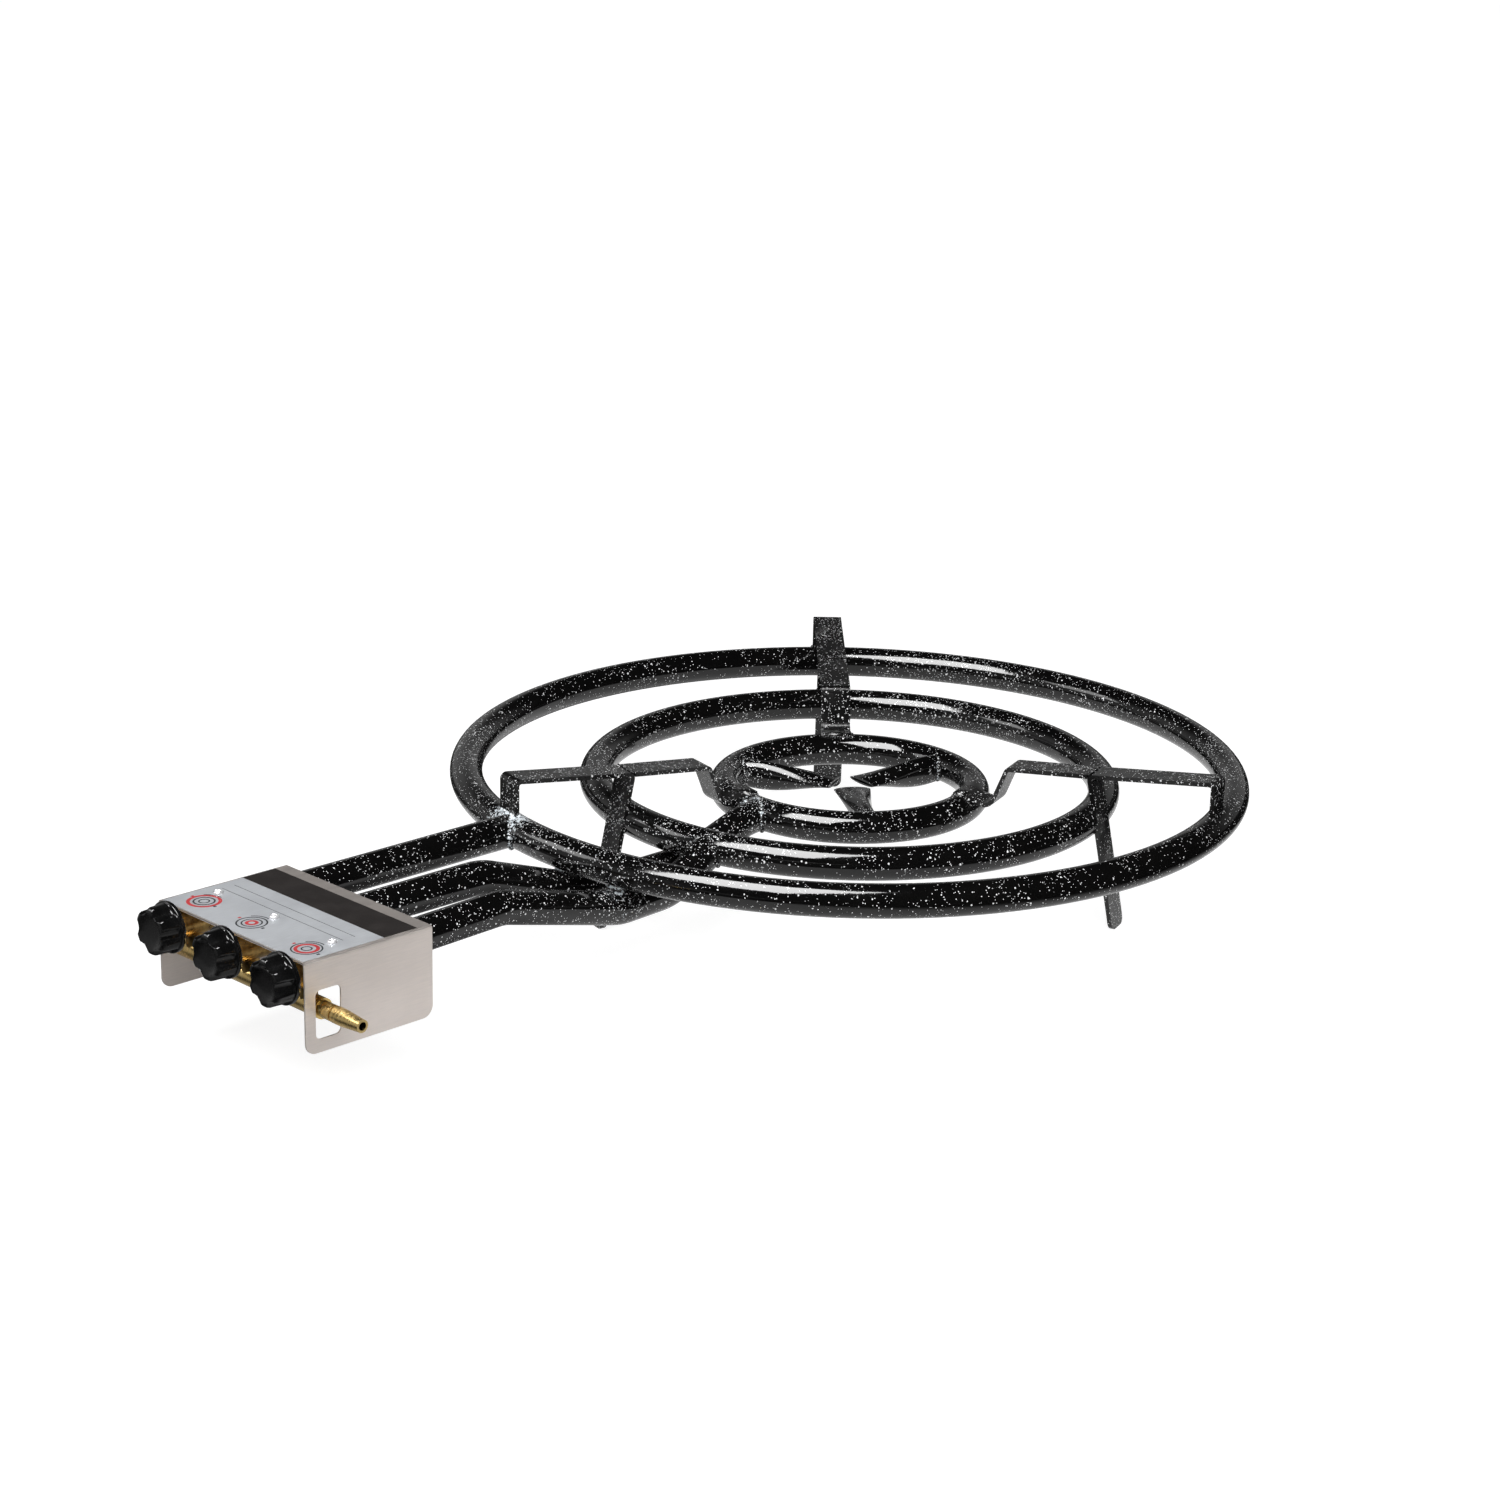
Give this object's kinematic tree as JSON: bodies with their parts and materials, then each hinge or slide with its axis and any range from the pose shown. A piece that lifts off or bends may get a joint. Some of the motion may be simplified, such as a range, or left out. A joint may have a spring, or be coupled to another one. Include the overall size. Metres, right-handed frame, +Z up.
{
  "type": "gas ring burner",
  "caption": "Low gas burner with concentric tube rings, each fed from its own tap in a folded steel control box, and raised flat-bar pan supports.",
  "frame": {"origin": "centre of the overall box on the floor plane under the feet", "axes": "+X from the control box towards the rings, +Z up"},
  "size_m": [0.89, 0.5999, 0.1257],
  "materials": {
    "enamel": "glossy black enamel with fine white specks",
    "steel_sheet": "satin stainless sheet, fine grain along the top",
    "label_print": "brushed silver printed foil",
    "label_dark": "dark printed foil",
    "bright_screw": "bright plated dome head",
    "brass": "turned yellow brass",
    "spring_steel": "plain flat wire",
    "bakelite": "polished black moulding"
  },
  "bodies": {
    "burner": {"outer_ring": "enamel", "middle_ring": "enamel", "inner_ring": "enamel", "outer_feed_pipe": "enamel", "inner_feed_pipe": "enamel", "middle_feed_pipe": "enamel", "pipe_ties": "enamel", "centre_spur_1": "enamel", "centre_spur_2": "enamel", "centre_spur_3": "enamel", "support_leg_1": "enamel", "support_leg_2": "enamel", "support_leg_3": "enamel", "support_bar_1": "enamel", "support_bar_2": "enamel", "support_bar_3": "enamel", "control_cover": "steel_sheet", "control_label": "label_print", "label_band": "label_dark", "cover_screws": "bright_screw", "gas_rail": "brass", "rail_end_plug": "brass", "hose_tail": "brass", "tap_body_1": "brass", "tap_body_2": "brass", "tap_body_3": "brass", "tap_bonnet_1": "brass", "tap_bonnet_2": "brass", "tap_bonnet_3": "brass", "bonnet_screws": "bright_screw", "injector_1": "brass", "injector_2": "brass", "injector_3": "brass", "mixer_cap_1": "brass", "mixer_cap_2": "brass", "mixer_cap_3": "brass"},
    "outer_tap_plug": {"tap_plug_1": "brass"},
    "outer_knob": {"knob_1": "bakelite", "tap_spindle_1": "brass", "tap_spring_1": "spring_steel"},
    "inner_tap_plug": {"tap_plug_2": "brass"},
    "inner_knob": {"knob_2": "bakelite", "tap_spindle_2": "brass", "tap_spring_2": "spring_steel"},
    "middle_tap_plug": {"tap_plug_3": "brass"},
    "middle_knob": {"knob_3": "bakelite", "tap_spindle_3": "brass", "tap_spring_3": "spring_steel"}
  },
  "joints": [
    {"name": "outer_tap_turn", "type": "hinge", "parent": "burner", "child": "outer_tap_plug", "pos_m": [-0.4098, 0.06, 0.087], "axis": [-1, 0, 0], "range_deg": [0, 180]},
    {"name": "outer_knob_push", "type": "slide", "parent": "outer_tap_plug", "child": "outer_knob", "axis": [1, 0, 0], "range_m": [0, 0.0025], "stiffness_N_per_m": 900, "springref_m": -0.001, "deforming": ["tap_spring_1"]},
    {"name": "inner_tap_turn", "type": "hinge", "parent": "burner", "child": "inner_tap_plug", "pos_m": [-0.4098, 0, 0.087], "axis": [-1, 0, 0], "range_deg": [0, 180]},
    {"name": "inner_knob_push", "type": "slide", "parent": "inner_tap_plug", "child": "inner_knob", "axis": [1, 0, 0], "range_m": [0, 0.0025], "stiffness_N_per_m": 900, "springref_m": -0.001, "deforming": ["tap_spring_2"]},
    {"name": "middle_tap_turn", "type": "hinge", "parent": "burner", "child": "middle_tap_plug", "pos_m": [-0.4098, -0.06, 0.087], "axis": [-1, 0, 0], "range_deg": [0, 180]},
    {"name": "middle_knob_push", "type": "slide", "parent": "middle_tap_plug", "child": "middle_knob", "axis": [1, 0, 0], "range_m": [0, 0.0025], "stiffness_N_per_m": 900, "springref_m": -0.001, "deforming": ["tap_spring_3"]}
  ]
}
